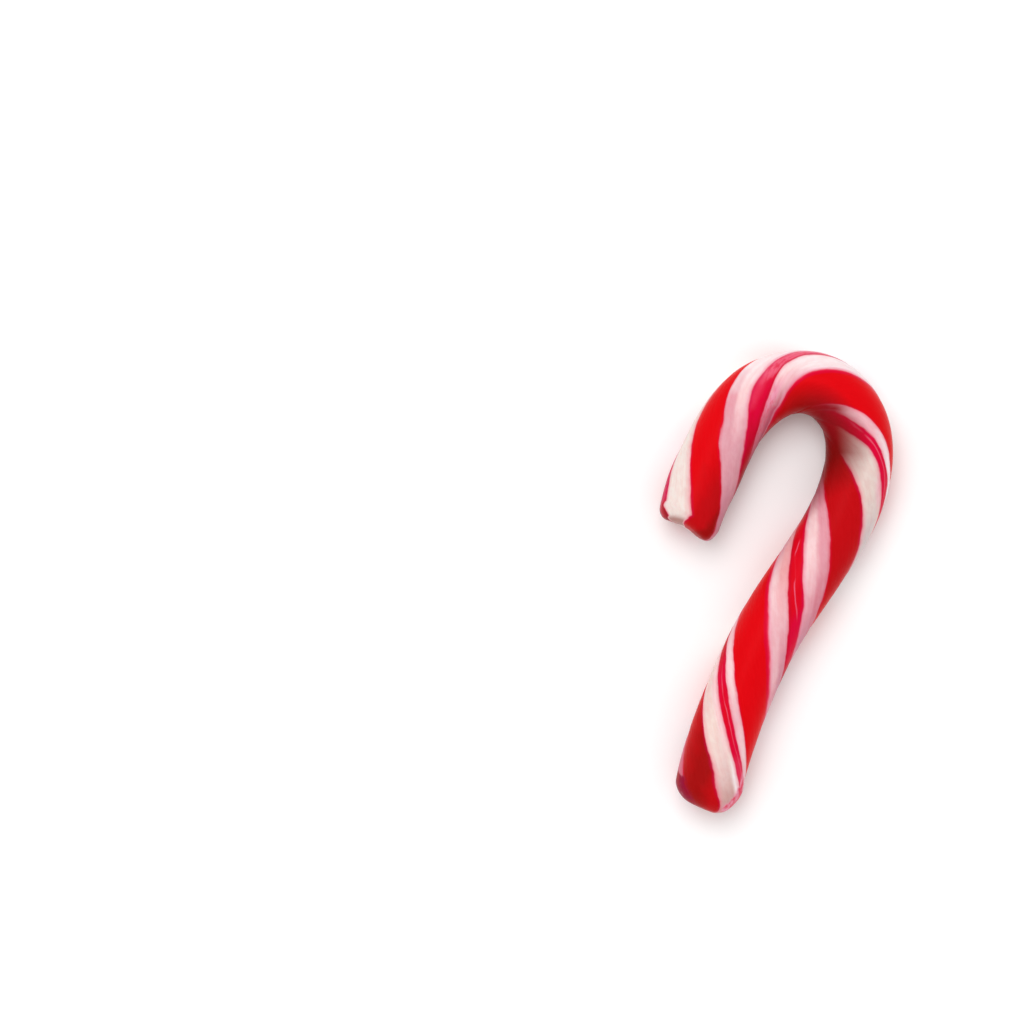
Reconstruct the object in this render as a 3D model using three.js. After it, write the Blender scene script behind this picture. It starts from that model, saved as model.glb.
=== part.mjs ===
// A small candy cane: one stick of pulled sugar, twisted while warm and bent into a crook.
// Millimetres, +Z up. The cane lies on its side, with its leg along +Y and its crook bent towards -X.
// The origin is the middle of its base.
import * as THREE from "three";

// ---- Driving dimensions ----

// The stick from its foot to its tip, as stretches. Each has a length, a bend to the left and a
// twist of the strands, both in degrees, and the half-width of the stick at its far end.
const STRETCHES = [
  { name: "foot", length: 8.9, bend: -14, twist: 77, halfWidth: 4.28 },
  { name: "shin", length: 10, bend: -5, twist: 92, halfWidth: 4.25 },
  { name: "knee", length: 10, bend: -10.6, twist: 89, halfWidth: 4.3 },
  { name: "thigh", length: 9, bend: 1, twist: 81, halfWidth: 4.33 },
  { name: "hip", length: 8, bend: 16.6, twist: 59, halfWidth: 4.35 },
  { name: "back", length: 6, bend: 23, twist: 51, halfWidth: 4.25 },
  { name: "shoulder", length: 6, bend: 40.5, twist: 66, halfWidth: 4.1 },
  { name: "crown", length: 6, bend: 50, twist: 58, halfWidth: 3.97 },
  { name: "brow", length: 6, bend: 35.5, twist: 75, halfWidth: 4.27 },
  { name: "cheek", length: 6, bend: 22.5, twist: 40, halfWidth: 4.28 },
  { name: "chin", length: 6, bend: 0.5, twist: 45, halfWidth: 4.42 },
  { name: "tip", length: 6.8, bend: 14, twist: 38, halfWidth: 3.9 },
];
const FIRST_HEADING = 113; // degrees from +X towards +Y, where the foot starts
const FIRST_TWIST = 2; // degrees
const FIRST_HALF_WIDTH = 4.3;
const EASE = 2; // each stretch's bend, twist and width run this far into its neighbours

// The strands round the stick, in degrees of its turn, clockwise as seen from the foot. The twist
// carries them along as helices. Each is a whole number of facets wide.
const RED = new THREE.Color(0xc8161a);
const CREAM = new THREE.Color(0xf4e2d8);
const BLUSH = new THREE.Color(0xeebfc2);
const CRIMSON = new THREE.Color(0xdc1a44);
const STRANDS = [
  { name: "broad red", width: 67, facets: 9, colour: RED },
  { name: "cream", width: 50, facets: 7, colour: CREAM },
  { name: "first pinstripe", width: 22, facets: 3, colour: CRIMSON },
  { name: "sliver", width: 18, facets: 2, colour: BLUSH },
  { name: "broadest red", width: 82, facets: 11, colour: RED },
  { name: "blush", width: 43, facets: 6, colour: BLUSH },
  { name: "second pinstripe", width: 31, facets: 4, colour: CRIMSON },
  { name: "second blush", width: 47, facets: 6, colour: BLUSH },
];
const FIRST_STRAND = -22; // degrees from the top of the stick to the first strand's edge
const GROOVE = 0.08; // depth of the groove between two broad strands
const BROAD = 60; // degrees: a strand this wide or wider stands proud by the whole of it
const CREST = 3; // the power that gives a strand its broad, flat crest

// The section: as tall as it is wide at ROUND_RADIUS, and taller where the bend squeezes it.
const ROUND_RADIUS = 4.25;
const SQUEEZE = 0.5; // share of the lost half-width that the half-height gains
const SETTLE = 0.2; // how far the warm stick sank where it lay, which left a flat strip under it

// The two cut ends: the radius of the edge, how far the face is domed, and how far back along the
// stick the cut's slant is felt.
const FOOT_EDGE = 2.1;
const TIP_EDGE = 1.4;
const DOME = 0.2;
const CUT_REACH = 7;
const FOOT_NOSE = 1.2; // the foot reaches furthest this far to the right of its middle
const FOOT_SLANT = 0.32; // from the nose its face falls back to the left, for each millimetre
const FOOT_SOFT = 0.5; // over this far the slant begins
const FOOT_CURL = 0.18; // and to the right it curls away, for each square millimetre
const TIP_STEP = 0.85; // half the step in the tip's face, where the red strand tore further out
const TIP_STEP_AT = -0.9; // where the step is, to the right of the middle
const TIP_STEP_RUN = 1.5; // how gently it runs
const TIP_NOSE = -2.3; // to the left of this the red strand's end curls away
const TIP_CURL = 0.28; // for each square millimetre
const SHED = 0.07; // both faces curl away towards the top, for each square millimetre above SHED_FROM
const SHED_FROM = 1;

// Facets along the stick
const ROW_LENGTH = 1.15;
const EDGE_ROWS = 5;
const FACE_ROWS = 3;
const WALK = 0.25; // length of the steps in which the centre line is walked
const EASE_READINGS = 6; // readings on each side of a place that are averaged to ease it

// ---- The stick's course ----

const LENGTH = STRETCHES.reduce((sum, stretch) => sum + stretch.length, 0);
const JOINTS = runningSum(0, "length");
const HEADINGS = runningSum(FIRST_HEADING, "bend");
const TWISTS = runningSum(FIRST_TWIST, "twist");
const HALF_WIDTHS = [FIRST_HALF_WIDTH, ...STRETCHES.map((stretch) => stretch.halfWidth)];
const COURSE = walkCentreLine();

// The value at each joint of two stretches of what starts as first and grows by key.
function runningSum(first, key) {
  const sums = [first];
  for (const stretch of STRETCHES) sums.push(sums[sums.length - 1] + stretch[key]);
  return sums;
}

// Reads values, which are given at the joints, at a place along the stick.
function readAt(values, place) {
  const along = THREE.MathUtils.clamp(place, 0, LENGTH);
  let i = 0;
  while (i < STRETCHES.length - 1 && along > JOINTS[i + 1]) i += 1;
  const share = (along - JOINTS[i]) / STRETCHES[i].length;
  return THREE.MathUtils.lerp(values[i], values[i + 1], share);
}

// The same, eased over the joints.
function easedAt(values, place) {
  let sum = 0;
  for (let i = -EASE_READINGS; i <= EASE_READINGS; i += 1) {
    sum += readAt(values, place + (EASE * i) / EASE_READINGS);
  }
  return sum / (2 * EASE_READINGS + 1);
}

function headingAt(place) {
  return THREE.MathUtils.degToRad(easedAt(HEADINGS, place));
}

// Points of the centre line, WALK apart, seen from above. They run on past the tip, whose cut face
// reaches beyond LENGTH on one side.
function walkCentreLine() {
  const points = [new THREE.Vector2(0, 0)];
  for (let place = WALK / 2; place < LENGTH + CUT_REACH; place += WALK) {
    const heading = headingAt(place);
    const step = new THREE.Vector2(Math.cos(heading), Math.sin(heading)).multiplyScalar(WALK);
    points.push(step.add(points[points.length - 1]));
  }
  return points;
}

function centreAt(place) {
  const steps = Math.max(0, place) / WALK;
  const i = Math.floor(steps);
  return COURSE[i].clone().lerp(COURSE[i + 1], steps - i);
}

// ---- The stick's section ----

const SIDES = STRANDS.reduce((sum, strand) => sum + strand.facets, 0);

// The strand that a facet edge lies on, how far across it, and its angle round the untwisted stick.
function strandAt(column) {
  let firstColumn = 0;
  let firstAngle = FIRST_STRAND;
  for (const strand of STRANDS) {
    if (column < firstColumn + strand.facets) {
      const across = (column - firstColumn) / strand.facets;
      return { strand, across, angle: firstAngle + across * strand.width };
    }
    firstColumn += strand.facets;
    firstAngle += strand.width;
  }
  return strandAt(column - SIDES);
}

// How far the surface lies in from the strands' crests: it falls to a groove at each strand's edges.
function grooveAt({ strand, across }) {
  const proud = GROOVE * Math.min(1, strand.width / BROAD);
  return proud * Math.abs(2 * across - 1) ** CREST;
}

// ---- The cut ends ----

// How far each face is moved along the stick, at a distance to the right of the middle.
function footCut(right) {
  const aside = right - FOOT_NOSE;
  if (aside > 0) return FOOT_CURL * aside ** 2;
  return FOOT_SLANT * (Math.hypot(aside, FOOT_SOFT) - FOOT_SOFT);
}

function tipCut(right) {
  const aside = Math.max(0, TIP_NOSE - right);
  return -TIP_STEP * Math.tanh((right - TIP_STEP_AT) / TIP_STEP_RUN) - TIP_CURL * aside ** 2;
}

// Both cuts die away along the stick.
function cutAt(along, right, up) {
  const foot = 1 - THREE.MathUtils.smoothstep(along, 0, CUT_REACH);
  const tip = THREE.MathUtils.smoothstep(along, LENGTH - CUT_REACH, LENGTH);
  const shed = SHED * Math.max(0, up - SHED_FROM) ** 2;
  return foot * (footCut(right) + shed) + tip * (tipCut(right) - shed);
}

// ---- The solid ----

// The quarter round of an end's edge and the domed face inside it, from the stick's axis outwards.
// It runs along +Y from the end at 0.
function endProfile(edge) {
  const flat = ROUND_RADIUS - edge;
  const points = [];
  for (let i = 0; i <= FACE_ROWS; i += 1) {
    const radius = (flat * i) / FACE_ROWS;
    points.push(new THREE.Vector2(radius, DOME * (radius / ROUND_RADIUS) ** 2));
  }
  const rim = DOME * (flat / ROUND_RADIUS) ** 2;
  for (let i = 1; i <= EDGE_ROWS; i += 1) {
    const turn = (i / EDGE_ROWS) * (Math.PI / 2);
    points.push(
      new THREE.Vector2(flat + edge * Math.sin(turn), rim + edge * (1 - Math.cos(turn))),
    );
  }
  return points;
}

// Half the outline of the straight stick: foot, side and tip, from axis to axis.
function stickProfile() {
  const foot = endProfile(FOOT_EDGE);
  const tip = endProfile(TIP_EDGE)
    .map((point) => new THREE.Vector2(point.x, LENGTH - point.y))
    .reverse();
  const from = foot[foot.length - 1].y;
  const to = tip[0].y;
  const rows = Math.round((to - from) / ROW_LENGTH);
  const side = [];
  for (let i = 1; i < rows; i += 1) {
    side.push(new THREE.Vector2(ROUND_RADIUS, THREE.MathUtils.lerp(from, to, i / rows)));
  }
  return [...foot, ...side, ...tip];
}

// Where a point of the straight stick goes when it is cut, twisted, bent and laid down.
function layDown(column, out, along) {
  const place = strandAt(column);
  const reach = out * (1 - grooveAt(place) / ROUND_RADIUS);
  const halfWidth = easedAt(HALF_WIDTHS, along);
  const halfHeight = ROUND_RADIUS + SQUEEZE * (ROUND_RADIUS - halfWidth);
  const section = (s) => {
    const turn = THREE.MathUtils.degToRad(place.angle - easedAt(TWISTS, s));
    return { right: reach * halfWidth * Math.sin(turn), up: reach * halfHeight * Math.cos(turn) };
  };
  const uncut = section(along);
  const s = along + cutAt(along, uncut.right, uncut.up);
  const { right, up } = section(s);
  const heading = headingAt(s);
  const centre = centreAt(s);
  return new THREE.Vector3(
    centre.x + right * Math.sin(heading),
    centre.y - right * Math.cos(heading),
    Math.max(0, halfHeight - SETTLE + up),
  );
}

// The straight stick is turned on a lathe, and each of its vertices is then laid down.
function caneGeometry() {
  const geometry = new THREE.LatheGeometry(stickProfile(), SIDES);
  const { position, uv } = geometry.attributes;
  for (let i = 0; i < position.count; i += 1) {
    const column = uv.getX(i) * SIDES;
    const out = Math.hypot(position.getX(i), position.getZ(i)) / ROUND_RADIUS;
    const point = layDown(column, out, position.getY(i));
    position.setXYZ(i, point.x, point.y, point.z);
  }
  geometry.computeBoundingBox();
  const centre = geometry.boundingBox.getCenter(new THREE.Vector3());
  geometry.translate(-centre.x, -centre.y, 0);
  geometry.computeVertexNormals();
  return geometry;
}

// Colours each facet by the strand it lies on.
function paintStrands(indexed) {
  const geometry = indexed.toNonIndexed();
  const { position, uv } = geometry.attributes;
  const colours = new THREE.BufferAttribute(new Float32Array(position.count * 3), 3);
  for (let i = 0; i < position.count; i += 3) {
    const middle = ((uv.getX(i) + uv.getX(i + 1) + uv.getX(i + 2)) / 3) * SIDES;
    const { colour } = strandAt(middle).strand;
    for (let j = i; j < i + 3; j += 1) colours.setXYZ(j, colour.r, colour.g, colour.b);
  }
  geometry.setAttribute("color", colours);
  return geometry;
}

const candy = new THREE.MeshStandardMaterial({
  vertexColors: true,
  roughness: 0.4,
  metalness: 0,
});
const cane = new THREE.Mesh(paintStrands(caneGeometry()), candy);
cane.name = "candy_cane";

const group = new THREE.Group();
group.add(cane);

export default group;
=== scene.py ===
"""Looks of a small candy cane: red and white strands of pulled sugar, twisted and bent into a crook.

It runs in Blender 4.5 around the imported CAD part. Blender works in metres, the sizes here are in
millimetres and the angles in degrees. The cane lies on its side on a pale floor, seen from above.
"""

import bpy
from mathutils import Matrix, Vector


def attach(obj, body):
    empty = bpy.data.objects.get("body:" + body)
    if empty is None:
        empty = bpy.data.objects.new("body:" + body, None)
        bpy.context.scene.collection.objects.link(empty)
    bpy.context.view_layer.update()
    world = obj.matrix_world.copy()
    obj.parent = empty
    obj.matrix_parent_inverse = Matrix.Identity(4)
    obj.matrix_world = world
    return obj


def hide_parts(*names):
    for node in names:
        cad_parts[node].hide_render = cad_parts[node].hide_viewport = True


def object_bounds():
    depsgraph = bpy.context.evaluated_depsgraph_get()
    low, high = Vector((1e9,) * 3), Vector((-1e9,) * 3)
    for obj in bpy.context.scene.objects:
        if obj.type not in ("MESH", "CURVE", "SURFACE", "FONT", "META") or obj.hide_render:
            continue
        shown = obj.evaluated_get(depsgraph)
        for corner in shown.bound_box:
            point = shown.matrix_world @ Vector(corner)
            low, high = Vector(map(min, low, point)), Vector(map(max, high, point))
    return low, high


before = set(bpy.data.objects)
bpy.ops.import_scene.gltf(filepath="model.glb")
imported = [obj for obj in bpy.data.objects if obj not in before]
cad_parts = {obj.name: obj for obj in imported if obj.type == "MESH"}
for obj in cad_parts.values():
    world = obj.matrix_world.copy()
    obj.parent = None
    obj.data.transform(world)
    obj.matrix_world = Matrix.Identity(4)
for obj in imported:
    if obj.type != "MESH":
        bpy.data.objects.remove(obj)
cad_box = [list(corner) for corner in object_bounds()]

import math

import bpy
import numpy as np
from mathutils import Vector

MM = 0.001

# ---- The stick's course, as in the CAD source ----

# Its stretches from the foot to the tip: length, bend to the left, twist of the strands, and the
# half-width at the far end.
STRETCHES = {
    "foot": (8.9, -14, 77, 4.28),
    "shin": (10, -5, 92, 4.25),
    "knee": (10, -10.6, 89, 4.3),
    "thigh": (9, 1, 81, 4.33),
    "hip": (8, 16.6, 59, 4.35),
    "back": (6, 23, 51, 4.25),
    "shoulder": (6, 40.5, 66, 4.1),
    "crown": (6, 50, 58, 3.97),
    "brow": (6, 35.5, 75, 4.27),
    "cheek": (6, 22.5, 40, 4.28),
    "chin": (6, 0.5, 45, 4.42),
    "tip": (6.8, 14, 38, 3.9),
}
FIRST_HEADING = 113  # from +X towards +Y, where the foot starts
FIRST_TWIST = 2
FIRST_HALF_WIDTH = 4.3
EASE = 2  # each stretch's bend, twist and width run this far into its neighbours
EASE_READINGS = 6  # readings on each side of a place that are averaged to ease it
WALK = 0.25  # length of the steps in which the centre line is walked

# The section: as tall as it is wide at ROUND_RADIUS, and taller where the bend squeezes it.
ROUND_RADIUS = 4.25
SQUEEZE = 0.5  # share of the lost half-width that the half-height gains
SETTLE = 0.2  # how far the warm stick sank where it lay, which left a flat strip under it
GROOVE = 0.08  # depth of the groove between two broad strands
BROAD = 60  # a strand this wide or wider stands proud by the whole of it
CREST = 3  # the power that gives a strand its broad, flat crest

# The two cut ends: the radius of the edge, how far the face is domed, and how far back along the
# stick the cut's slant is felt.
FOOT_EDGE = 2.1
TIP_EDGE = 1.4
DOME = 0.2
CUT_REACH = 7
FOOT_NOSE = 1.2  # the foot reaches furthest this far to the right of its middle
FOOT_SLANT = 0.32  # from the nose its face falls back to the left, for each millimetre
FOOT_SOFT = 0.5  # over this far the slant begins
FOOT_CURL = 0.18  # and to the right it curls away, for each square millimetre
TIP_STEP = 0.85  # half the step in the tip's face, where the red strand tore further out
TIP_STEP_AT = -0.9  # where the step is, to the right of the middle
TIP_STEP_RUN = 1.5  # how gently it runs
TIP_NOSE = -2.3  # to the left of this the red strand's end curls away
TIP_CURL = 0.28  # for each square millimetre
SHED = 0.07  # both faces curl away towards the top, for each square millimetre above SHED_FROM
SHED_FROM = 1

# Painted shade within the crook, where the crook shades itself, and along the inner side up to the
# tip, with red dye that has run over the pale strands in the crook. It starts at one turn from the
# top and is full at another: (place, first turn, full turn, strength). Under the stick it has ended
# at one turn and is still full at another.
CROOK_SHADE_AND_DYE = [
    (38, -55, -120, 0),
    (43, -35, -110, 0.5),
    (46.5, 8, -110, 0.95),
    (50, 20, -48, 1),
    (53, 18, -46, 1),
    (55, 9, -44, 1),
    (58, 8, -54, 1),
    (61, 4, -60, 1),
    (65, -5, -72, 1),
    (71, -62, -100, 0.6),
    (86, -66, -100, 0.5),
]
CROOK_SHADE_AND_DYE_ENDS = (-150, -120)

# The mesh is finer than the CAD solid.
COLUMNS = 192
ROW_LENGTH = 0.28
EDGE_ROWS = 14
FACE_ROWS = 14

# The studio is so bright that the floor shows white. The colours are darker by as much.
BRIGHTNESS = 1.15


def srgb(red, green, blue):
    """The shader's colour for a surface that shows in the studio as this colour, 0 to 255."""
    def linear(value):
        share = value / 255
        light = share / 12.92 if share <= 0.04045 else ((share + 0.055) / 1.055) ** 2.4
        return light / BRIGHTNESS
    return (linear(red), linear(green), linear(blue), 1)


# ---- The strands ----

RED = srgb(226, 7, 17)
DEEP_RED = srgb(197, 13, 20)
DARK_RED = srgb(166, 16, 16)
EMBER = srgb(128, 14, 12)
GARNET = srgb(146, 18, 26)
CARMINE = srgb(223, 9, 32)
CRIMSON = srgb(223, 7, 57)
CERISE = srgb(208, 8, 78)
CHERRY = srgb(198, 14, 42)
RASPBERRY = srgb(228, 46, 83)
ROSE = srgb(236, 100, 128)
PALE_ROSE = srgb(240, 160, 184)
SNOW = srgb(252, 239, 240)
WHITE = srgb(250, 234, 235)
CREAM = srgb(244, 222, 213)
IVORY = srgb(240, 226, 219)
LINEN = srgb(238, 208, 203)
BEIGE = srgb(232, 213, 205)
TAN = srgb(172, 116, 108)
ASH = srgb(228, 195, 191)
FAWN = srgb(213, 172, 167)
GREY_CREAM = srgb(220, 207, 206)
SHELL = srgb(248, 212, 213)
PINK = srgb(241, 190, 197)
SALMON = srgb(240, 174, 176)
BLOSSOM = srgb(229, 168, 179)
DUSK = srgb(230, 160, 172)
MAUVE = srgb(211, 143, 160)
ORCHID = srgb(212, 120, 138)
PLUM = srgb(192, 96, 116)
WINE = srgb(158, 26, 50)
MULBERRY = srgb(150, 12, 54)

# Round the stick from FIRST_STRAND, clockwise as seen from the foot. A strand has its width, how
# far its first edge has strayed at places along the stick, as (place, degrees), and its lanes.
# A lane starts at a share of the width, and has its colours along the stick as (place, colour).
FIRST_STRAND = -22
STRANDS = [
    {
        "name": "broad red",
        "width": 67,
        "stray": [(1, 0), (4, 2), (6, 4), (8.5, 9), (14, 4), (30, -6), (32, -2), (35, 3), (37, 4),
                  (39, 2), (42, -4), (45, -12), (68, 3), (71, 3), (74, -4), (77, 3), (83, 2),
                  (85, 0), (86, 4), (88, 12)],
        "lanes": {
            0: [(0, DEEP_RED), (3, DARK_RED), (5, DARK_RED), (9.5, DEEP_RED), (14, RED), (29, RED),
                (35, DEEP_RED), (46, DEEP_RED), (60, RED), (79.5, RED), (84, DEEP_RED),
                (87, DEEP_RED), (88.5, DARK_RED)],
        },
    },
    {
        "name": "cream",
        "width": 50,
        "stray": [(0, -7), (2, -7), (4, -0.5), (5, 4.5), (7, 5.5), (8.5, 4), (14, 5), (38, 3),
                  (43, 2), (45, 0), (50, -10), (70, -25), (76, -8), (80, -5), (87.4, -5), (88.1, 4),
                  (88.6, 16)],
        # At the foot the first lane is fawn and ash up to place 4.5: painted shade of a dimple by the
        # end, with blotchy tone. From place 3.5 to 5.5 the second lane is snow: a painted highlight.
        "lanes": {
            0: [(0, FAWN), (2.5, FAWN), (4.5, ASH), (6.5, LINEN), (10, CREAM), (14, LINEN),
                (18, CREAM), (34, GREY_CREAM), (41, GREY_CREAM), (45, BEIGE), (60, CREAM), (78, IVORY)],
            0.7: [(0, SHELL), (3.5, SNOW), (5.5, SNOW), (7.5, CREAM), (9.5, SHELL), (19, SHELL),
                  (34, GREY_CREAM), (44, BEIGE), (46, PINK), (48, BEIGE), (60, CREAM),
                  (78, IVORY)],
        },
    },
    {
        "name": "first pinstripe",
        "width": 22,
        "stray": [(5, 1), (10, 1), (15, -1), (18, 2), (43, 0), (46, -2), (49, 2), (50.5, -1),
                  (52, -9), (53, -12), (60, -9), (84, -2), (86.3, 1), (86.8, 12), (87.1, 11),
                  (87.4, 5), (87.9, 1), (88.2, 0), (88.4, 8)],
        "lanes": {
            0: [(4.8, PALE_ROSE), (5.4, RASPBERRY), (7, RASPBERRY), (8.5, CRIMSON), (13, CARMINE),
                (17, CRIMSON), (21, DEEP_RED), (46, CRIMSON), (56, CRIMSON), (70, ROSE),
                (80, ROSE), (83, CERISE), (85.8, CERISE), (86.4, CHERRY), (88.2, GARNET)],
        },
    },
    {
        "name": "sliver",
        "width": 18,
        "stray": [(5, -2), (8, -4), (11, -5), (16, 0), (19, 2), (21, -2), (45, -6), (47, -2), (52, -3),
                  (53.5, -6), (57, 1), (85, 0), (87, 3)],
        # From place 58 to 66 this lane is wine, as part of the crook's painted shade and run dye.
        "lanes": {
            0: [(4, PINK), (9, SHELL), (12.5, PINK), (16, SHELL), (19, SHELL), (24, PINK),
                (40, GREY_CREAM), (45.5, SNOW), (49.5, SNOW), (52.5, PINK), (55.5, PINK), (58, WINE),
                (66, WINE), (71, PINK), (82, PINK), (85, CERISE), (87, GARNET)],
        },
    },
    {
        "name": "broadest red",
        "width": 82,
        "stray": [(7, -5), (10, -4), (14, -2), (16, 0), (19, 3), (25, 1), (49, -5), (50, -1), (53, 2),
                  (57, 2)],
        "lanes": {
            0: [(4, DEEP_RED), (10, RED), (62, RED), (68, DEEP_RED)],
        },
    },
    {
        "name": "blush",
        "width": 43,
        "stray": [(16, -12), (20, -5), (22, -2), (24, -2), (26, 1), (29, -3), (32, -2), (61, -3),
                  (64, 0), (66, -2), (67, 0), (68.5, 9), (71, 15)],
        # On the crown, up to about place 63, these lanes are white: painted highlight on its outer side,
        # with thinner dye. From place 68 they are plum and orchid: painted shade on the crook's inner
        # side. On the leg their pink-mauve is the strand's own pink, deepened in part by painted shade.
        "lanes": {
            0: [(17, DUSK), (19, PINK), (25, PINK), (30, SHELL), (34, DUSK), (52, WHITE),
                (62, WHITE), (64.8, PINK), (68, PLUM), (76, PLUM)],
            0.5: [(19, MAUVE), (23, DUSK), (26, PINK), (31.5, SALMON), (35, SALMON), (38, DUSK),
                  (52, WHITE), (63, WHITE), (65, SHELL), (67.2, PALE_ROSE), (70, ORCHID),
                  (77, ORCHID)],
        },
    },
    {
        "name": "second pinstripe",
        "width": 31,
        "stray": [(21, -6), (24, -4), (27, -1.5), (31, -2.5), (33, -1), (35, -2), (37, -5), (60, -4),
                  (62, 0), (64.8, 2), (66, -2), (67.2, -6), (68.7, -4), (71, 0), (75, 1)],
        # About place 20 this strand dips to cherry: painted shade at the stick's side. From place 60 to
        # 66 it is pale rose and rose: painted highlight on the crown's outer side, with thinner dye.
        "lanes": {
            0: [(17, CRIMSON), (20, CHERRY), (22, CRIMSON), (26, CRIMSON), (28, CARMINE), (38, CARMINE),
                (41, WINE), (60, PALE_ROSE), (62, ROSE), (65.9, ROSE), (66.6, CRIMSON),
                (71, CRIMSON), (76, CHERRY), (79, DARK_RED)],
            0.5: [(18, CRIMSON), (21, CHERRY), (24, CRIMSON), (28, CRIMSON), (30, CARMINE),
                  (38, CARMINE), (42, WINE), (61, PALE_ROSE), (64, ROSE), (66.3, ROSE),
                  (68.3, RASPBERRY), (69.5, RASPBERRY), (71, CRIMSON), (77, CHERRY), (80, DARK_RED)],
        },
    },
    {
        "name": "second blush",
        "width": 47,
        "stray": [(24, -9), (28, -3), (29.5, 0), (32, -4), (34, -2), (36, -4), (39, -3), (42, -8),
                  (63, -7), (67, -4), (69.2, 4), (70.7, 3), (73, -4), (76, -3), (77.5, 2), (80, 4)],
        # Up to place 5 these lanes are wine: painted shade at the foot's end, with a film of red dye. On
        # the crown, from place 58 to 68, they are white: painted highlight on its outer side, with
        # thinner dye.
        "lanes": {
            0: [(0, WINE), (5, WINE), (25, MAUVE), (29, DUSK), (32, PINK), (35, SHELL), (39, SHELL),
                (43, PLUM), (58, WHITE), (67, WHITE), (70, SHELL), (73, PINK), (76, BLOSSOM),
                (80, BLOSSOM), (86, MAUVE)],
            0.55: [(0, WINE), (2.5, WINE), (3.5, ORCHID), (27, ORCHID), (36, DUSK), (41, DUSK),
                   (46, PLUM), (60, WHITE), (68, WHITE), (71.5, DUSK), (74, BLOSSOM), (79, BLOSSOM),
                   (86, MAUVE)],
        },
    },
]

# ---- Where things are along the stick ----

LENGTH = sum(stretch[0] for stretch in STRETCHES.values())
JOINTS = np.cumsum([0] + [stretch[0] for stretch in STRETCHES.values()])
HEADINGS = np.cumsum([FIRST_HEADING] + [stretch[1] for stretch in STRETCHES.values()])
TWISTS = np.cumsum([FIRST_TWIST] + [stretch[2] for stretch in STRETCHES.values()])
HALF_WIDTHS = np.array([FIRST_HALF_WIDTH] + [stretch[3] for stretch in STRETCHES.values()])
STRAND_EDGES = np.cumsum([FIRST_STRAND] + [strand["width"] for strand in STRANDS])


def eased_at(values, places):
    """Values given at the joints, read at places along the stick and eased over the joints."""
    steps = range(-EASE_READINGS, EASE_READINGS + 1)
    readings = [np.interp(places + EASE * i / EASE_READINGS, JOINTS, values) for i in steps]
    return np.mean(readings, axis=0)


def walk_centre_line():
    """The centre line seen from above: places along it, and its x and y there."""
    middles = np.arange(WALK / 2, LENGTH + CUT_REACH, WALK)
    headings = np.radians(eased_at(HEADINGS, middles))
    xs = np.concatenate([[0], np.cumsum(WALK * np.cos(headings))])
    ys = np.concatenate([[0], np.cumsum(WALK * np.sin(headings))])
    return WALK * np.arange(len(xs)), xs, ys


def smooth(values, start, end):
    """0 before start, 1 after end, and a smooth step between them."""
    share = np.clip((values - start) / (end - start), 0, 1)
    return share * share * (3 - 2 * share)


# ---- The stick's section and its cut ends, as in the CAD source ----


def unstrayed(angles, places):
    """Angles round the stick, moved so that each strand's strayed edges are back in place."""
    edges = [edge + np.interp(places, *zip(*strand["stray"]))
             for edge, strand in zip(STRAND_EDGES, STRANDS)]
    edges.append(edges[0] + 360)
    straight = np.full(angles.shape, np.nan)
    for turn in (-360, 0, 360):
        for i, width in enumerate(np.diff(STRAND_EDGES)):
            share = (angles + turn - edges[i]) / (edges[i + 1] - edges[i])
            inside = (share >= 0) & (share <= 1)
            straight[inside] = (STRAND_EDGES[i] + share * width)[inside]
    return straight


def groove_at(straight):
    """How far the surface lies in from the strands' crests."""
    strand = np.clip(np.searchsorted(STRAND_EDGES, straight, "right") - 1, 0, len(STRANDS) - 1)
    width = np.diff(STRAND_EDGES)[strand]
    across = (straight - STRAND_EDGES[strand]) / width
    return GROOVE * np.minimum(1, width / BROAD) * np.abs(2 * across - 1) ** CREST


def foot_cut(right):
    """How far along the stick the foot's face lies, this far to the right of the axis."""
    aside = right - FOOT_NOSE
    slant = FOOT_SLANT * (np.hypot(aside, FOOT_SOFT) - FOOT_SOFT)
    return np.where(aside > 0, FOOT_CURL * aside ** 2, slant)


def tip_cut(right):
    """How far beyond LENGTH the tip's face lies, this far to the right of the axis."""
    aside = np.maximum(0, TIP_NOSE - right)
    return -TIP_STEP * np.tanh((right - TIP_STEP_AT) / TIP_STEP_RUN) - TIP_CURL * aside ** 2


def cut_at(along, right, up):
    """How far a point near an end moves along the stick, so that the end is cut."""
    foot = 1 - smooth(along, 0, CUT_REACH)
    tip = smooth(along, LENGTH - CUT_REACH, LENGTH)
    shed = SHED * np.maximum(0, up - SHED_FROM) ** 2
    return foot * (foot_cut(right) + shed) + tip * (tip_cut(right) - shed)


def end_profile(edge):
    """The domed face and the quarter round at its edge, as (radius, place) from the axis outwards."""
    flat = ROUND_RADIUS - edge
    face = [flat * i / FACE_ROWS for i in range(FACE_ROWS + 1)]
    points = [(radius, DOME * (radius / ROUND_RADIUS) ** 2) for radius in face]
    rim = points[-1][1]
    for i in range(1, EDGE_ROWS + 1):
        turn = math.radians(90 * i / EDGE_ROWS)
        points.append((flat + edge * math.sin(turn), rim + edge * (1 - math.cos(turn))))
    return points


def stick_profile():
    """Half the outline of the straight stick: foot, side and tip, from axis to axis."""
    foot = end_profile(FOOT_EDGE)
    tip = [(radius, LENGTH - place) for radius, place in reversed(end_profile(TIP_EDGE))]
    start, end = foot[-1][1], tip[0][1]
    rows = round((end - start) / ROW_LENGTH)
    side = [(ROUND_RADIUS, start + (end - start) * i / rows) for i in range(1, rows)]
    return np.array(foot + side + tip)


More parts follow.
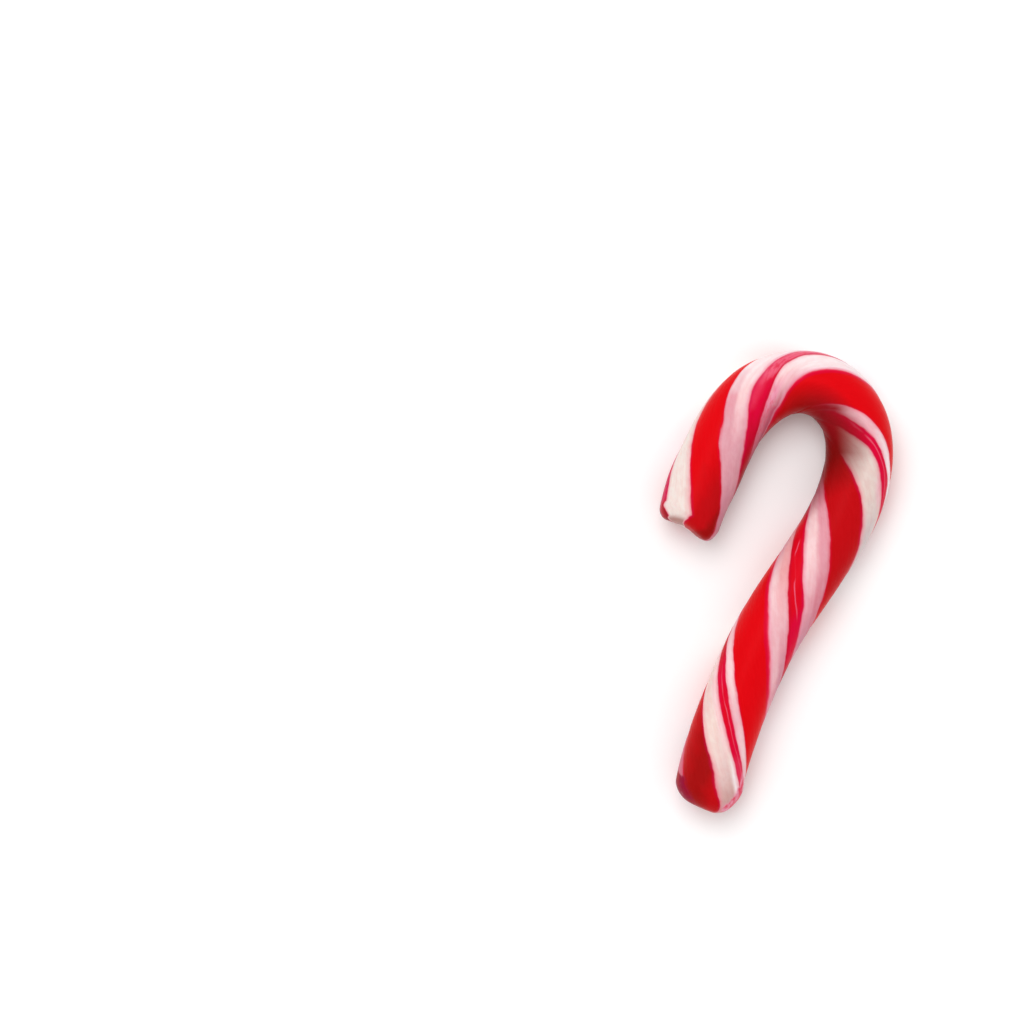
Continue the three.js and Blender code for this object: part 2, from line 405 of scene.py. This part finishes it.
def lay_down(angles, outs, along):
    """Where points of the straight stick go when it is cut, twisted, bent and laid down."""
    places, xs, ys = walk_centre_line()
    half_width = eased_at(HALF_WIDTHS, along)
    half_height = ROUND_RADIUS + SQUEEZE * (ROUND_RADIUS - half_width)
    straight = unstrayed(angles, along)
    reach = outs / ROUND_RADIUS * (1 - groove_at(straight) / ROUND_RADIUS)

    def section(s):
        turn = np.radians(angles - eased_at(TWISTS, s))
        return reach * half_width * np.sin(turn), reach * half_height * np.cos(turn)

    s = along + cut_at(along, *section(along))
    right, up = section(s)
    heading = np.radians(eased_at(HEADINGS, s))
    x = np.interp(s, places, xs) + right * np.sin(heading)
    y = np.interp(s, places, ys) - right * np.cos(heading)
    z = np.maximum(0, half_height - SETTLE + up)
    stick = np.stack([outs * np.cos(np.radians(straight)), outs * np.sin(np.radians(straight)), s], -1)
    return np.stack([x, y, z], -1), stick, crook_shade_and_dye_at(angles - eased_at(TWISTS, s), s)


def crook_shade_and_dye_at(turns, places):
    """How strongly the crook's painted shade and run dye cover the surface, from 0 to 1."""
    turns = (turns + 180) % 360 - 180
    stations, *columns = zip(*CROOK_SHADE_AND_DYE)
    first, full, strength = (np.interp(places, stations, column) for column in columns)
    share = np.clip((first - turns) / (first - full), 0, 1)
    return strength * (1 - (1 - share) ** 2) * smooth(turns, *CROOK_SHADE_AND_DYE_ENDS)


def cane_grid():
    """The mesh's points row by row, then the poles of foot and tip, with two values for each.

    The values are the point's place on the straight, untwisted stick, and how strongly the crook's
    painted shade and run dye cover it.
    """
    profile = stick_profile()[1:-1]
    angles = FIRST_STRAND + 360 * np.arange(COLUMNS) / COLUMNS
    grid = [np.broadcast_to(values, (len(profile), COLUMNS)).copy()
            for values in (angles[None, :], profile[:, :1], profile[:, 1:])]
    points, stick, inside = lay_down(*grid)
    ends = [lay_down(np.array([0.0]), np.array([0.0]), np.array([s])) for s in (0.0, LENGTH)]
    points = np.concatenate([points.reshape(-1, 3), ends[0][0], ends[1][0]])
    stick = np.concatenate([stick.reshape(-1, 3), ends[0][1], ends[1][1]])
    inside = np.concatenate([inside.ravel(), [0, 0]])

    middle = (points.min(axis=0) + points.max(axis=0)) / 2
    cad_middle = np.mean(cad_box, axis=0) / MM
    points[:, :2] += (cad_middle - middle)[:2]
    return points, stick, inside


def cane_faces(foot_pole):
    """Faces between the rows of points, which come before the two poles, and round the poles."""
    tip_pole = foot_pole + 1
    last = foot_pole - COLUMNS
    faces = []
    for column in range(COLUMNS):
        beside = (column + 1) % COLUMNS
        faces.append((foot_pole, beside, column))
        faces.append((tip_pole, last + column, last + beside))
        for row in range(0, last, COLUMNS):
            faces.append((row + column, row + beside, row + COLUMNS + beside, row + COLUMNS + column))
    return faces


def build_cane(material):
    """The cane, with the attributes 'stick' and 'inside', the crook's painted shade and run dye, for its
    material.
    """
    points, stick, inside = cane_grid()
    faces = cane_faces(len(points) - 2)
    mesh = bpy.data.meshes.new("candy_cane")
    mesh.from_pydata((points * MM).tolist(), [], faces)
    mesh.polygons.foreach_set("use_smooth", [True] * len(faces))
    stored = mesh.attributes.new("stick", "FLOAT_VECTOR", "POINT")
    stored.data.foreach_set("vector", stick.astype(np.float32).ravel())
    stored = mesh.attributes.new("inside", "FLOAT", "POINT")
    stored.data.foreach_set("value", inside.astype(np.float32))
    mesh.materials.append(material)
    cane = bpy.data.objects.new("striped_cane", mesh)
    bpy.context.scene.collection.objects.link(cane)
    return cane


# ---- Materials ----


class Graph:
    """A node tree. An input is a number, a vector, a colour or another node's output."""

    def __init__(self, tree):
        self.tree = tree

    def feed(self, socket, value):
        if isinstance(value, bpy.types.NodeSocket):
            self.tree.links.new(value, socket)
        else:
            socket.default_value = value

    def add(self, kind, inputs=(), **settings):
        made = self.tree.nodes.new(kind)
        for name, value in settings.items():
            setattr(made, name, value)
        for socket, value in zip(made.inputs, inputs):
            self.feed(socket, value)
        return made

    def math(self, operation, *inputs):
        return self.add("ShaderNodeMath", inputs, operation=operation).outputs[0]

    def step(self, value, start, end):
        """0 at start and 1 at end, with a smooth step between them."""
        inputs = (value, start, end, 0.0, 1.0)
        made = self.add("ShaderNodeMapRange", inputs, interpolation_type="SMOOTHSTEP")
        return made.outputs[0]

    def mix(self, share, first, second, blend="MIX"):
        made = self.add("ShaderNodeMix", data_type="RGBA", blend_type=blend)
        self.feed(made.inputs["Factor"], share)
        self.feed(made.inputs[6], first)
        self.feed(made.inputs[7], second)
        return made.outputs[2]

    def noise(self, place, scale, detail, along):
        """Noise from 0 to 1. Along the stick its scale is this share of its scale round it."""
        drawn = self.add("ShaderNodeVectorMath", (place, (1, 1, along)), operation="MULTIPLY")
        made = self.add("ShaderNodeTexNoise")
        self.feed(made.inputs["Vector"], drawn.outputs[0])
        self.feed(made.inputs["Scale"], scale)
        self.feed(made.inputs["Detail"], detail)
        return made.outputs[0]

    def overlap(self, *masks):
        """The product of masks of 0 to 1."""
        product = masks[0]
        for mask in masks[1:]:
            product = self.math("MULTIPLY", product, mask)
        return product

    def ramp(self, share, stops):
        made = self.add("ShaderNodeValToRGB", (share,))
        elements = made.color_ramp.elements
        while len(elements) < len(stops):
            elements.new(1.0)
        for element, (position, colour) in zip(elements, stops):
            element.position = position
            element.color = colour
        return made.outputs[0]


def new_material(name):
    material = bpy.data.materials.new(name)
    material.use_nodes = True
    return material, Graph(material.node_tree), material.node_tree.nodes["Principled BSDF"]


# The ramps run round the stick from the middle of the broad red strand.
SEAM = FIRST_STRAND + STRANDS[0]["width"] / 2
LEAN = 0.09  # millimetres that a colour's place moves back for each degree across its lane
EDGE = 3  # degrees over which one strand gives way to the next
SOFT_EDGE = 13  # and one lane to the next within a strand
SWAY = 7  # degrees from side to side that an edge strays at most, as noise
BLOTCH = 3.0  # millimetres to and fro that a colour's place strays at most, as noise

# Noise on the stick: its scale per millimetre, its detail, and the share of that scale that it has
# along the stick, where it is drawn out.
NOISES = {
    "sway": (1.0, 2.0, 0.5),
    "blotch": (0.5, 2.0, 1),
    "mottle": (1.1, 3.0, 0.6),
    "ragged": (0.9, 2.0, 1),
    "fray": (1.2, 4.0, 1),
    "sugar": (0.9, 3.0, 1),
    "speckle": (2.4, 3.0, 0.6),
    "fibre": (2.6, 5.0, 0.12),
    "cloud": (1.3, 5.0, 1),
}

# Fine streaks and soft clouds are deeper in colour: values of their noise where this starts and is
# whole, and its strength. DEEPER is the share of the strand's colour left at a strength of 1.
DEEPER = (0.87, 0.49, 0.52, 1)
STREAKS = {"noise": (0.6, 0.25), "strength": 0.2}
CLOUDS = {"noise": (0.6, 0.38), "strength": 0.14}
RIPPLE = 0.035  # millimetres between the streaks' hollows and crests
ROUGHNESS = 0.24  # in the hollows
ROUGHER = 0.2  # by as much on the crests

# Where two strands meet the dye has run: degrees from the edge, colour and strength.
FRINGES = {
    "broad red": [(-5, ROSE, 0), (-1, CERISE, 0.4), (1.5, CRIMSON, 0.5), (5, CRIMSON, 0)],
    "cream": [(-6, CERISE, 0), (-1.5, CERISE, 0.5), (1, ROSE, 0.6), (4, ROSE, 0.25), (11, ROSE, 0)],
    "first pinstripe": [(-9, ROSE, 0), (-4, ROSE, 0.25), (-1, ROSE, 0.6), (1.5, CERISE, 0.5),
                        (4, CERISE, 0)],
    "sliver": [(-5, CERISE, 0), (-1, CERISE, 0.5), (1, ROSE, 0.4), (3.5, PALE_ROSE, 0.3),
               (7, PALE_ROSE, 0)],
    "broadest red": [(-6, ROSE, 0), (-3.5, ROSE, 0.15), (-1, ROSE, 0.5), (1, CERISE, 0.4),
                     (4, CERISE, 0)],
    "blush": [(-10, CERISE, 0), (-4, CRIMSON, 0.8), (-1, RASPBERRY, 0.9), (1.5, ROSE, 0.7),
              (5, PALE_ROSE, 0.5), (9, PALE_ROSE, 0)],
    "second pinstripe": [(-7, ROSE, 0), (-2.5, ROSE, 0.3), (0, CERISE, 0.4), (3, CHERRY, 0.7),
                         (7, CHERRY, 0)],
    "second blush": [(-6, CERISE, 0), (-2, CERISE, 0.6), (1, ROSE, 0.6), (4, PALE_ROSE, 0.5),
                     (8, PALE_ROSE, 0)],
}

# Paler threads within the two pinstripes: width, angle round the stick and strength along it.
THREADS = [
    {
        "colour": ROSE,
        "width": 4.6,
        "angle": [(5, 109), (7, 106.5), (10, 104.5), (13, 107), (15, 105.5), (17, 108.5)],
        "strength": [(4.8, 0), (5.6, 0.8), (7, 0.6), (9, 0.35), (11, 0.6), (12.2, 0.5), (13.3, 0.9),
                     (14.2, 0.3), (16, 0.6), (18.5, 0)],
    },
    {
        "colour": ROSE,
        "width": 6,
        "angle": [(45.5, 100), (48, 107), (49.5, 107), (52, 104.5), (53, 105), (54.5, 109)],
        "strength": [(45, 0), (46, 0.5), (48, 0.45), (50, 0.65), (51.8, 0.9), (52.3, 0), (53, 0.4),
                     (54, 0.3), (54.8, 0)],
    },
    {
        "colour": ROSE,
        "width": 4.6,
        "angle": [(27.5, 277), (29.5, 273), (31, 268.5), (31.8, 271), (34.2, 270), (36, 277)],
        "strength": [(27.3, 0), (28.2, 0.7), (30.6, 0.95), (31.2, 0.7), (31.7, 0.06), (34, 0.06),
                     (34.6, 0.8), (35.6, 0.8), (36.2, 0)],
    },
]

# The rounded edge of the foot is smeared: angles where this starts, is whole, fades and ends, the
# places where it starts and is whole at the second angle, millimetres it leans per degree, and its
# colours at the rim and away from it. On the cut face it ends and is whole at these radii.
SMEARS = [
    {"angles": (44, 58, 114, 124), "places": (1.8, 1.2), "lean": 0.065,
     "colours": (RASPBERRY, PALE_ROSE)},
    {"angles": (296, 304, 336, 352), "places": (4.5, 4.0), "lean": 0, "colours": (MULBERRY, DARK_RED)},
]
SMEAR_RADII = (2.3, 3.1)
SMEAR_RAGGED = 1.4  # millimetres to and fro that its start strays at most, as noise
# It covers and changes colour by the mottle noise, between these values. At the rim the noise
# counts as lower by SMEAR_DEEPER.
SMEAR_COVERS = (0.15, 0.45)
SMEAR_CHANGES = (0.15, 0.5)
SMEAR_DEEPER = 0.25

# Two patches of the crown are speckled with dye: places and angles where this starts, is whole,
# fades and ends, and its colour and strength. SPECKLES has the values of their noise where a
# speckle starts and is whole.
SPECKLED = [
    {"places": (58, 61, 66, 68), "angles": (256, 264, 286, 291), "colour": CRIMSON, "strength": 0.6},
    {"places": (65, 68, 72, 76), "angles": (220, 228, 254, 262), "colour": RASPBERRY, "strength": 0.35},
]
SPECKLES = (0.44, 0.66)

# The cream strand ends at the tip in a brownish rim: places where this starts and is whole, angles
# and radii where it starts, is whole, fades and ends, and its strength.
RIM_PLACES = (80, 83)
RIM_ANGLES = (46, 50, 86, 96)
RIM_RADII = (1.6, 2.0, 3.4, 4.05)
RIM_STRENGTH = 0.85

# The cut faces show the white core: radius where it is whole and where it ends, millimetres to and
# fro that its edge is frayed, and values of its noise where cream starts to turn pink and is pink.
CORE = (1.0, 1.6)
CORE_FRAY = 1.4
CORE_PINK = (0.5, 0.72)

# The dark reds of the crook's painted shade and run dye. The pale strands on the crown are left out,
# as their lanes hold painted highlight and shade of their own: angles and places where these start,
# are whole, fade and end.
CROOK_SHADE_AND_DYE_COLOURS = [(50, EMBER), (55, GARNET), (58, GARNET), (63, DARK_RED), (69, DEEP_RED), (74, WINE)]
CROWN_ANGLES = (215, 218, 336, 339)
CROWN_PLACES = (56, 60, 69, 74)


def share_of(angle):
    """An angle round the stick as a share of the turn from SEAM."""
    return ((angle - SEAM) % 360) / 360


def ramp_along(graph, place, stops):
    """A ramp from stops at places along the stick. Its own place is a share of LENGTH."""
    return graph.ramp(place, [(stop / LENGTH, colour) for stop, colour in stops])


def draw_fringes(graph, colour, share):
    """The run dye, in two ramps because one ramp holds no more than 32 stops."""
    edges = list(zip(STRAND_EDGES, STRANDS))
    for alternate in (edges[::2], edges[1::2]):
        stops = []
        for edge, strand in alternate:
            for degrees, run, strength in FRINGES[strand["name"]]:
                stops.append((share_of(edge + degrees), (*run[:3], strength)))
        fringe = graph.ramp(share, sorted(stops))
        colour = graph.mix(fringe.node.outputs["Alpha"], colour, fringe)
    return colour


def lanes_in_turn():
    """Each lane as (share where it starts, share of its middle, softness of its start, colours)."""
    lanes = []
    for edge, strand in zip(STRAND_EDGES, STRANDS):
        starts = [*strand["lanes"], 1]
        for first, last in zip(starts, starts[1:]):
            start = share_of(edge + first * strand["width"])
            middle = share_of(edge + (first + last) / 2 * strand["width"])
            softness = (SOFT_EDGE if first else EDGE) / 360
            lanes.append((start, middle, softness, strand["lanes"][first]))
    broad_red = lanes.pop(0)
    lanes.append((broad_red[0], 1, broad_red[2], broad_red[3]))
    return [(0, 0, 0, broad_red[3]), *lanes]


def strand_colours(graph, share, along, wander):
    """The strands' colours round and along the stick."""
    leant = graph.math("MULTIPLY_ADD", share, -360 * LEAN, graph.math("ADD", along, wander))
    colour = None
    for start, middle, softness, colours in lanes_in_turn():
        lane_place = graph.math("MULTIPLY_ADD", leant, 1 / LENGTH, 360 * LEAN * middle / LENGTH)
        lane = ramp_along(graph, lane_place, colours)
        if colour is None:
            colour = lane
        else:
            reached = graph.step(share, start - softness / 2, start + softness / 2)
            colour = graph.mix(reached, colour, lane)
    return draw_fringes(graph, colour, share)


def grey(value):
    return (value, value, value, 1)


def draw_threads(graph, colour, share, along):
    """The paler threads within the two pinstripes."""
    along = graph.math("MULTIPLY", along, 1 / LENGTH)
    for thread in THREADS:
        places, angles = (np.array(values, float) for values in zip(*thread["angle"]))
        shares = (unstrayed(angles, places) - SEAM) / 360
        middle = ramp_along(graph, along, [(s, grey(value)) for s, value in zip(places, shares)])
        strength = ramp_along(graph, along, [(s, grey(value)) for s, value in thread["strength"]])
        gap = graph.math("ABSOLUTE", graph.math("SUBTRACT", share, middle))
        there = graph.step(gap, thread["width"] / 2 / 360, 0.0)
        colour = graph.mix(graph.overlap(there, strength), colour, thread["colour"])
    return colour


def between(graph, value, start, full, fading, end):
    """0 up to start, 1 from full to fading, and 0 again from end."""
    return graph.overlap(graph.step(value, start, full), graph.step(value, end, fading))


def round_between(graph, share, angles):
    """The same for angles round the stick."""
    return between(graph, share, *(share_of(angle) for angle in angles))


def paint_crook_shade_and_dye(graph, colour, share, along, inside):
    """The crook's painted shade, with the red dye that has run there."""
    crown = graph.overlap(round_between(graph, share, CROWN_ANGLES), between(graph, along, *CROWN_PLACES))
    dark = graph.overlap(inside, graph.math("SUBTRACT", 1.0, crown))
    shade = ramp_along(graph, graph.math("MULTIPLY", along, 1 / LENGTH), CROOK_SHADE_AND_DYE_COLOURS)
    return graph.mix(dark, colour, shade)


def smear_foot(graph, colour, share, along, radius, place):
    """The smeared edge of the foot."""
    mottle = graph.noise(place, *NOISES["mottle"])
    stray = graph.math("SUBTRACT", graph.noise(place, *NOISES["ragged"]), 0.5)
    ragged = graph.math("MULTIPLY_ADD", stray, SMEAR_RAGGED, along)
    for smear in SMEARS:
        lean = 360 * smear["lean"]
        leant = graph.math("MULTIPLY_ADD", share, -lean, ragged)
        starts = [start - lean * share_of(smear["angles"][1]) for start in smear["places"]]
        near = graph.step(leant, *starts)
        smeared = graph.overlap(near, graph.step(mottle, *SMEAR_COVERS),
                                round_between(graph, share, smear["angles"]),
                                graph.step(radius, *SMEAR_RADII))
        changed = graph.step(graph.math("MULTIPLY_ADD", near, -SMEAR_DEEPER, mottle), *SMEAR_CHANGES)
        colour = graph.mix(smeared, colour, graph.mix(changed, *smear["colours"]))
    return colour


def brown_rim(graph, colour, share, along, radius):
    """The brownish rim in which the cream strand ends at the tip."""
    rim = graph.overlap(graph.step(along, *RIM_PLACES), between(graph, radius, *RIM_RADII),
                        round_between(graph, share, RIM_ANGLES), RIM_STRENGTH)
    return graph.mix(rim, colour, TAN)


def bare_core(graph, colour, radius, place):
    """The white core that the cut faces show."""
    frayed = graph.math("MULTIPLY_ADD", graph.noise(place, *NOISES["fray"]), CORE_FRAY, radius)
    core = graph.step(frayed, CORE[1] + CORE_FRAY / 2, CORE[0] + CORE_FRAY / 2)
    pink = graph.step(graph.noise(place, *NOISES["sugar"]), *CORE_PINK)
    return graph.mix(core, colour, graph.mix(pink, CREAM, PINK))


def speckle_crown(graph, colour, share, along, place):
    """The two speckled patches of the crown."""
    speckle = graph.step(graph.noise(place, *NOISES["speckle"]), *SPECKLES)
    for patch in SPECKLED:
        there = graph.overlap(speckle, patch["strength"], between(graph, along, *patch["places"]),
                              round_between(graph, share, patch["angles"]))
        colour = graph.mix(there, colour, patch["colour"])
    return colour


def deepen(graph, colour, noise, kind):
    """Streaks or clouds of deeper colour."""
    deeper = graph.overlap(graph.step(noise, *kind["noise"]), kind["strength"])
    return graph.mix(deeper, colour, DEEPER, "MULTIPLY")


def share_round(graph, across, aside, place):
    """The share of the turn from SEAM, with noise that makes the strands' edges sway."""
    angle = graph.math("ARCTAN2", aside, across)
    sway = graph.math("SUBTRACT", graph.noise(place, *NOISES["sway"]), 0.5)
    turned = graph.math("MULTIPLY_ADD", sway, math.radians(SWAY), angle)
    return graph.math("FRACT", graph.math("MULTIPLY_ADD", turned, 1 / math.tau, 1 - SEAM / 360))


def finish_sugar(graph, shader, fibre):
    """The satin finish, which follows the streaks."""
    graph.feed(shader.inputs["Roughness"], graph.math("MULTIPLY_ADD", fibre, ROUGHER, ROUGHNESS))
    bump = graph.add("ShaderNodeBump")
    bump.inputs["Strength"].default_value = 1.0
    bump.inputs["Distance"].default_value = RIPPLE * MM
    graph.feed(bump.inputs["Height"], fibre)
    graph.feed(shader.inputs["Normal"], bump.outputs[0])
    shader.inputs["Specular IOR Level"].default_value = 0.05
    shader.inputs["Specular Tint"].default_value = (1, 0.4, 0.43, 1)
    shader.inputs["Subsurface Weight"].default_value = 0.15
    shader.inputs["Subsurface Radius"].default_value = (1, 0.4, 0.3)
    shader.inputs["Subsurface Scale"].default_value = 0.4 * MM


def candy_material():
    material, graph, shader = new_material("striped_sugar")
    place = graph.add("ShaderNodeAttribute", attribute_name="stick").outputs["Vector"]
    inside = graph.add("ShaderNodeAttribute", attribute_name="inside").outputs["Fac"]
    across, aside, along = graph.add("ShaderNodeSeparateXYZ", (place,)).outputs
    outward = graph.add("ShaderNodeCombineXYZ", (across, aside, 0.0)).outputs[0]
    radius = graph.add("ShaderNodeVectorMath", (outward,), operation="LENGTH").outputs["Value"]
    share = share_round(graph, across, aside, place)
    blotch = graph.math("SUBTRACT", graph.noise(place, *NOISES["blotch"]), 0.5)

    colour = strand_colours(graph, share, along, graph.math("MULTIPLY", blotch, BLOTCH))
    colour = draw_threads(graph, colour, share, along)
    # Painted shade within the crook, with the red dye run over its pale strands.
    colour = paint_crook_shade_and_dye(graph, colour, share, along, inside)
    colour = smear_foot(graph, colour, share, along, radius, place)
    colour = brown_rim(graph, colour, share, along, radius)
    colour = bare_core(graph, colour, radius, place)
    colour = speckle_crown(graph, colour, share, along, place)
    fibre = graph.noise(place, *NOISES["fibre"])
    colour = deepen(graph, colour, fibre, STREAKS)
    colour = deepen(graph, colour, graph.noise(place, *NOISES["cloud"]), CLOUDS)
    graph.feed(shader.inputs["Base Color"], colour)
    finish_sugar(graph, shader, fibre)
    return material


def floor_material():
    material, _, shader = new_material("pale_floor")
    shader.inputs["Base Color"].default_value = (0.95, 0.95, 0.945, 1)
    shader.inputs["Roughness"].default_value = 0.9
    shader.inputs["Specular IOR Level"].default_value = 0.1
    return material


# ---- The studio ----

# The photograph is 1024 pixels wide and looks straight down. PIXEL is one pixel in millimetres at
# the height of the cane's axis: a 40 mm sticker beside the cane is 316 pixels wide. The picture's
# upward edge points along VIEW_HEADING.
PICTURE = 1024
PIXEL = 40 / 316
VIEW_MIDDLE = (-28.7, -7.32)
VIEW_HEADING = 118
LENS = 200
SENSOR = 36
FLOOR_SIZE = 4  # metres

# The sky is even but for a dimmer patch overhead: heights from 0 at the horizon to 1 where this
# starts and is whole, and its share of the sky's light.
SKY_LIGHT = 0.8 * BRIGHTNESS
OVERHEAD = (0.8, 0.97)
OVERHEAD_SHARE = 0.8
# The key light: degrees from VIEW_HEADING, elevation, distance and size in metres, and watts.
KEY_TURN = 25
KEY_ELEVATION = 66
KEY_DISTANCE = 0.8
KEY_SIZE = 0.5
KEY_POWER = 2.2 * BRIGHTNESS


def build_floor():
    bpy.ops.mesh.primitive_plane_add(size=FLOOR_SIZE, location=(0, 0, 0))
    floor = bpy.context.object
    floor.name = "floor"
    floor.data.materials.append(floor_material())


def build_camera():
    data = bpy.data.cameras.new("camera")
    data.lens = LENS
    data.sensor_width = SENSOR
    camera = bpy.data.objects.new("camera", data)
    bpy.context.scene.collection.objects.link(camera)
    distance = PICTURE * PIXEL * LENS / SENSOR
    camera.location = Vector((*VIEW_MIDDLE, distance + ROUND_RADIUS)) * MM
    camera.rotation_euler = (0, 0, math.radians(VIEW_HEADING - 90))
    bpy.context.scene.camera = camera


def add_key_light():
    """A square soft light that faces the cane."""
    data = bpy.data.lights.new("key", "AREA")
    data.size = KEY_SIZE
    data.energy = KEY_POWER
    light = bpy.data.objects.new("key", data)
    bpy.context.scene.collection.objects.link(light)
    heading, elevation = math.radians(VIEW_HEADING + KEY_TURN), math.radians(KEY_ELEVATION)
    flat = math.cos(elevation)
    towards = Vector((flat * math.cos(heading), flat * math.sin(heading), math.sin(elevation)))
    light.location = towards * KEY_DISTANCE
    light.rotation_euler = towards.to_track_quat("Z", "Y").to_euler()


def light_studio():
    world = bpy.data.worlds.new("studio")
    bpy.context.scene.world = world
    world.use_nodes = True
    graph = Graph(world.node_tree)
    background = world.node_tree.nodes["Background"]
    direction = graph.add("ShaderNodeTexCoord").outputs["Generated"]
    height = graph.add("ShaderNodeSeparateXYZ", (direction,)).outputs[2]
    colour = graph.mix(graph.step(height, *OVERHEAD), grey(1), grey(OVERHEAD_SHARE))
    graph.feed(background.inputs["Color"], colour)
    background.inputs["Strength"].default_value = SKY_LIGHT
    add_key_light()
    bpy.context.scene.view_settings.view_transform = "Standard"


# ---- The scene ----

cane = build_cane(candy_material())
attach(cane, "root")
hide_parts("candy_cane")
build_floor()
build_camera()
light_studio()

bpy.context.view_layer.update()
